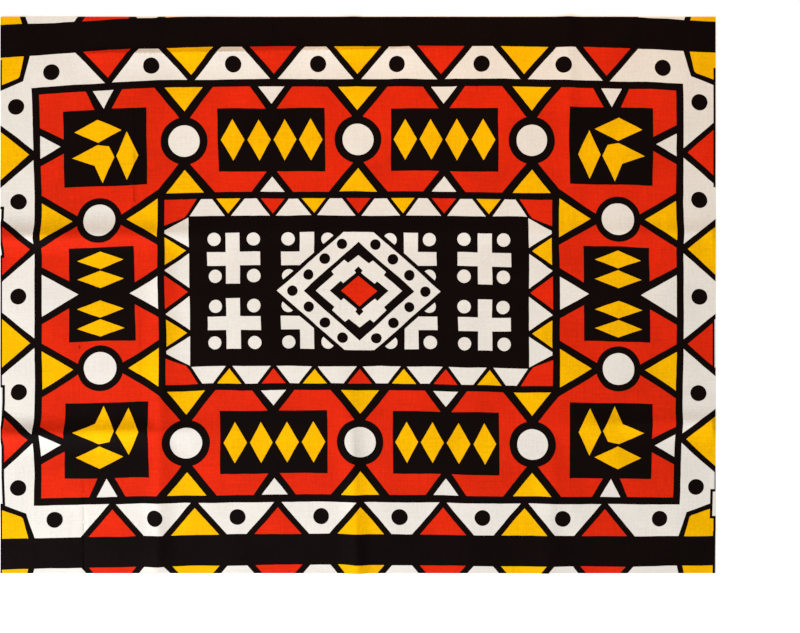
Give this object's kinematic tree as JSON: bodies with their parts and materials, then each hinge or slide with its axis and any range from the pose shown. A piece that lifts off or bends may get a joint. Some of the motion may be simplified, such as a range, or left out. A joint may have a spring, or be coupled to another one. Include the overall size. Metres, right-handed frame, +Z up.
{
  "type": "african wax print fabric",
  "caption": "Cut length of printed cotton cloth laid flat, with woven selvedges, cut edges and soft fold ridges, in a bold geometric print of red, yellow, black and white.",
  "frame": {"origin": "middle of the cloth's outline, on the surface that it lies on", "axes": "+X across the cloth towards the right-hand selvedge, +Y along the cloth towards the picture's top edge, +Z up from the surface, out of the printed face"},
  "size_m": [1.175, 0.9144, 0.0097],
  "materials": {
    "wax_print_cotton": "plain-weave cotton printed in black, signal red and marigold yellow on an off-white ground, matt with a faint calendered sheen"
  },
  "bodies": {
    "root": {"cloth_length": "wax_print_cotton"}
  },
  "joints": []
}
